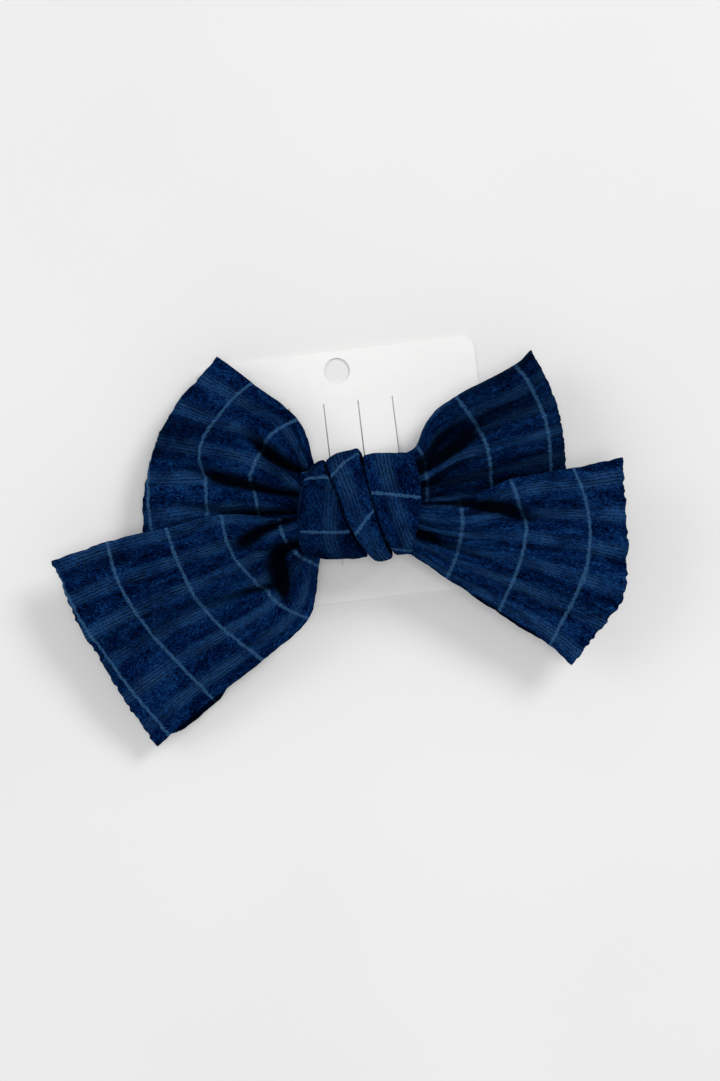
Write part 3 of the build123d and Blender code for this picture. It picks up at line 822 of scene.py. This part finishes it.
def make_waist():
    """The gathered bundle inside the knot, pleated along its length."""
    around_count, length_count = 160, 30
    angle = np.linspace(0, 2 * math.pi, around_count, endpoint=False)[None, :]
    x = np.linspace(-14.6, 16.8, length_count)[:, None]
    pinch = 1 - 0.12 * np.exp(-((x - 1.2) / 2.2) ** 2)
    pleat = 1 + 0.05 * np.cos(17 * angle + 0.05 * x)
    power, half_depth, half_height, middle = 0.8, 11.4, 5.1, 10.2
    y = rounded(np.cos(angle), power) * half_depth * pinch * pleat
    z = middle + rounded(np.sin(angle), power) * half_height * pinch * pleat
    points = on_arm(np.stack([np.broadcast_to(x, y.shape), y, z], axis=-1))
    uv = np.stack([np.broadcast_to(x, y.shape), np.broadcast_to(angle * 8, y.shape)], axis=-1)
    faces = wrapped_faces(length_count, around_count).tolist()
    faces.append(list(range(around_count))[::-1])
    faces.append(list(range((length_count - 1) * around_count, length_count * around_count)))
    # The core inside the knot gets painted shade all over.
    shade_and_pucker = shade_and_pucker_of(np.full(y.shape, 0.3), np.zeros(y.shape))
    obj = new_mesh("waist_core_cloth", points.reshape(-1, 3), [f[::-1] for f in faces],
                   uv.reshape(-1, 2), shade_and_pucker)
    obj.data.materials.append(cloth_material("waist_crepe", 0.0, 0.0))
    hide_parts("waist_core")
    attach(obj, "bow")


# ---- clip spring ----------------------------------------------------------------------------
def tube(name, path, radius, sides=12):
    """A round wire along a list of points."""
    path = np.asarray(path, float)
    along = np.gradient(path, axis=0)
    along /= np.linalg.norm(along, axis=1, keepdims=True)
    normal = np.cross(along[0], (0.3, 0.5, 0.81))
    rings = []
    for point, direction in zip(path, along):
        normal = normal - direction * (normal @ direction)
        normal /= np.linalg.norm(normal)
        side = np.cross(direction, normal)
        turn = np.linspace(0, 2 * math.pi, sides, endpoint=False)[:, None]
        rings.append(point + radius * (np.cos(turn) * normal + np.sin(turn) * side))
    count = len(path)
    faces = wrapped_faces(count, sides).tolist()
    faces.append(list(range(sides))[::-1])
    faces.append(list(range((count - 1) * sides, count * sides)))
    return new_mesh(name, np.concatenate(rings), [f[::-1] for f in faces])


def make_spring(material):
    """A wire wound round the hinge pin, with a leg to each arm."""
    coil_radius, wire, half, turns = 1.5, 0.33, 2.3, 5.5
    lower_end, upper_end = (28.5, -half, 2.75), (27.5, half, 9.2)
    angle = np.linspace(-math.pi / 2, -math.pi / 2 + turns * 2 * math.pi, 200)
    y = np.linspace(-half, half, len(angle))
    coil = np.stack([
        PIVOT[0] + coil_radius * np.cos(angle),
        PIVOT[1] + y,
        PIVOT[2] + coil_radius * np.sin(angle),
    ], axis=1)
    lower = np.linspace(lower_end, coil[0], 14)[:-1]
    upper = np.linspace(coil[-1], upper_end, 14)[1:]
    spring = tube("clip_spring_wire", np.concatenate([lower, coil, upper]), wire)
    spring.data.materials.append(material)
    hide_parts("clip_spring")
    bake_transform(spring)


# ---- card -------------------------------------------------------------------------------------
def make_card(material):
    """The card with its strips led over the clip in a smooth curve."""
    count, pitch, slit = 3, 10.7, 0.35
    slit_low, slit_high, crest, crest_half = -17.7, 32.4, 2.4, 5.6
    low_x = CARD_FROM_KNOT_X - pitch * count / 2 - slit / 2
    high_x = CARD_FROM_KNOT_X + pitch * count / 2 + slit / 2
    mesh = frame["nodes"]["display_card"].data.copy()
    card = bpy.data.objects.new("card_sheet", mesh)
    bpy.context.scene.collection.objects.link(card)
    card.matrix_world = frame["nodes"]["display_card"].matrix_world.copy()
    shape = bmesh.new()
    shape.from_mesh(mesh)
    shape.transform(card.matrix_world)
    for y in np.arange(slit_low + 1, slit_high - 0.5, 1.0):
        every = shape.verts[:] + shape.edges[:] + shape.faces[:]
        bmesh.ops.bisect_plane(shape, geom=every, plane_co=((KNOT + (0, y, 0)) * MM).tolist(),
                               plane_no=(0, 1, 0))
    # The strips rise straight to their crest in CAD, and here in a curve of the same height.
    for vert in shape.verts:
        x, y, _ = np.array(vert.co) / MM - KNOT
        if not (low_x + 0.1 < x < high_x - 0.1 and slit_low - 0.01 < y < slit_high + 0.01):
            continue
        from_low = (y - slit_low) / (-crest_half - slit_low)
        from_high = (slit_high - y) / (slit_high - crest_half)
        way = min(max(min(from_low, from_high), 0.0), 1.0)
        vert.co.z += crest * (smooth(0, 1, way) - way) * MM
    card.matrix_world.identity()
    shape.to_mesh(mesh)
    shape.free()
    mesh.materials.clear()
    mesh.materials.append(material)
    edge = card.modifiers.new("edge", "BEVEL")
    edge.width = 0.00014
    edge.segments = 2
    edge.limit_method = "ANGLE"
    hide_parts("display_card")
    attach(card, "card")


# ---- materials on the CAD nodes ---------------------------------------------------------------
def dress_frame():
    """Looks for the pieces that stay as CAD made them, then the card and the spring."""
    steel = steel_material("nickel_steel", (0.66, 0.65, 0.62), 0.3, (0.15, 1.0, 1.0))
    pin = steel_material("pin_steel", (0.7, 0.7, 0.7), 0.2)
    looks = {
        "clip_upper_arm": steel, "clip_lower_arm": steel, "clip_hinge_pin": pin,
        "clip_lining": ribbon_material(),
        "glue_pad": plain_material("hot_glue", (0.72, 0.68, 0.55), (0.82, 0.79, 0.68),
                                   rough=0.35, scale=300.0, bump=0.0002),
        "cinch_thread": plain_material("thread", (0.003, 0.010, 0.04), (0.008, 0.03, 0.11),
                                       rough=0.8, scale=4000.0, bump=0.0001),
    }
    for node, material in looks.items():
        mesh = frame["nodes"][node].data
        mesh.materials.clear()
        mesh.materials.append(material)
    make_card(card_material())
    make_spring(steel_material("spring_steel", (0.5, 0.5, 0.5), 0.32))


# ---- floor, light and camera ------------------------------------------------------------------
def make_floor():
    mesh = bpy.data.meshes.new("floor")
    size, below = 3.0, 0.0002
    mesh.from_pydata([(-size, -size, 0), (size, -size, 0), (size, size, 0), (-size, size, 0)], [],
                     [(0, 1, 2, 3)])
    floor = bpy.data.objects.new("floor", mesh)
    bpy.context.scene.collection.objects.link(floor)
    floor.location.z = CAD_BOX[0][2] - below
    n = Nodes("pale_table")
    place = n.add("ShaderNodeTexCoord").outputs["Object"]
    cloud = n.noise(place, 6.0, 2.0)
    n.link(n.mix(n.ramp(cloud, 0.3, 0.7), (0.80, 0.80, 0.80), (0.83, 0.83, 0.83)), "Base Color")
    n.shader.inputs["Roughness"].default_value = 0.6
    n.shader.inputs["Specular IOR Level"].default_value = 0.2
    mesh.materials.append(n.material)


def area_light(name, place, target, size, watts, colour=(1, 1, 1)):
    lamp = bpy.data.lights.new(name, "AREA")
    lamp.shape = "DISK"
    lamp.size = size
    lamp.energy = watts
    lamp.color = colour
    obj = bpy.data.objects.new(name, lamp)
    bpy.context.scene.collection.objects.link(obj)
    obj.location = place
    obj.rotation_euler = (Vector(target) - Vector(place)).to_track_quat("-Z", "Y").to_euler()


def make_lights():
    world = bpy.data.worlds.new("studio")
    bpy.context.scene.world = world
    world.use_nodes = True
    tree = world.node_tree
    light = tree.nodes["Background"]
    light.inputs[0].default_value = (1, 1, 1, 1)
    light.inputs[1].default_value = 0.42
    # The wall that a low camera sees is as pale as the table.
    wall = tree.nodes.new("ShaderNodeBackground")
    wall.inputs[0].default_value = (0.84, 0.84, 0.84, 1)
    seen = tree.nodes.new("ShaderNodeLightPath")
    both = tree.nodes.new("ShaderNodeMixShader")
    tree.links.new(seen.outputs["Is Camera Ray"], both.inputs[0])
    tree.links.new(light.outputs[0], both.inputs[1])
    tree.links.new(wall.outputs[0], both.inputs[2])
    tree.links.new(both.outputs[0], tree.nodes["World Output"].inputs[0])
    area_light("fill_left", (-1.9, 0.9, 1.9), (0, 0, 0), 1.5, 12.0, (0.98, 0.99, 1.0))
    area_light("key_right", (1.7, 1.2, 2.1), (0, 0, 0), 1.1, 32.0, (1.0, 0.99, 0.98))
    area_light("overhead", (0.1, -0.1, 3.0), (0, 0, 0), 1.1, 26.0)
    bpy.context.scene.view_settings.view_transform = "Standard"


def make_camera():
    """Straight down, turned so that the clip and card lie a little askew as they were laid."""
    # Lens and sensor are millimetres. The frame's height and the bow's middle height are metres.
    lens, sensor, frame_height, middle_height = 85.0, 36.0, 0.3297, 0.012
    distance = frame_height * lens / sensor
    centre = KNOT * MM + np.array([-0.0004, -0.0108, 0.0])
    data = bpy.data.cameras.new("camera")
    data.lens = lens
    data.sensor_fit = "VERTICAL"
    data.sensor_height = sensor
    camera = bpy.data.objects.new("camera", data)
    bpy.context.scene.collection.objects.link(camera)
    camera.location = (centre[0], centre[1], middle_height + distance)
    camera.rotation_euler = (0, 0, -CAMERA_TURN)
    bpy.context.scene.camera = camera


make_camera()
make_floor()
make_lights()
make_lobes()
make_knot()
make_waist()
dress_frame()
